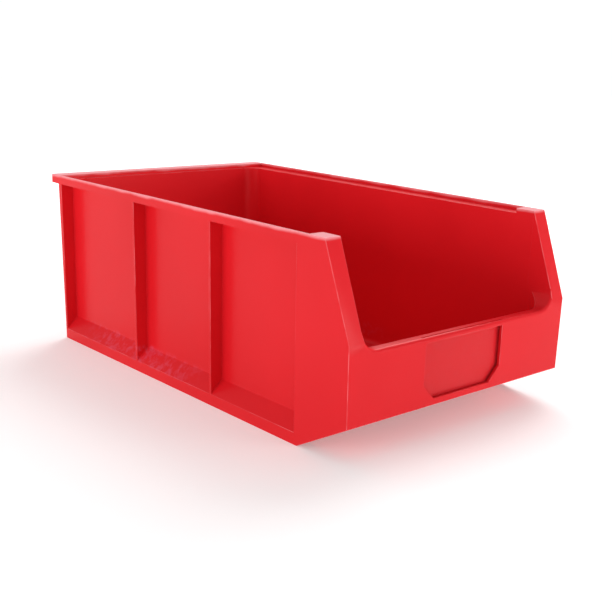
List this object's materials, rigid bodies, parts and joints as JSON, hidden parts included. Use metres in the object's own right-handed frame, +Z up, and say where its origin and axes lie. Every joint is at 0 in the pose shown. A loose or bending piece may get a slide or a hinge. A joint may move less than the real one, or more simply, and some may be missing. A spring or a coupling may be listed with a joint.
{
  "type": "hanging parts bin",
  "caption": "Open-fronted stacking and hanging storage bin with ribbed sides, half-height front, label pocket with a slide-in window and a rear hanging lip.",
  "frame": {"origin": "middle of the bounding rectangle at floor level, under the base", "axes": "+X to the right seen from the front, +Y from the open front to the hanging lip, +Z up"},
  "size_m": [0.31, 0.52, 0.2],
  "materials": {
    "red_polypropylene": "moulded semi-gloss red polypropylene",
    "clear_plastic": "clear polished sheet"
  },
  "bodies": {
    "bin": {"bin_body": "red_polypropylene"},
    "window": {"label_window": "clear_plastic"}
  },
  "joints": [
    {"name": "label_window_slide", "type": "slide", "parent": "bin", "child": "window", "axis": [0, 0, 1], "range_m": [0, 0.066]}
  ]
}
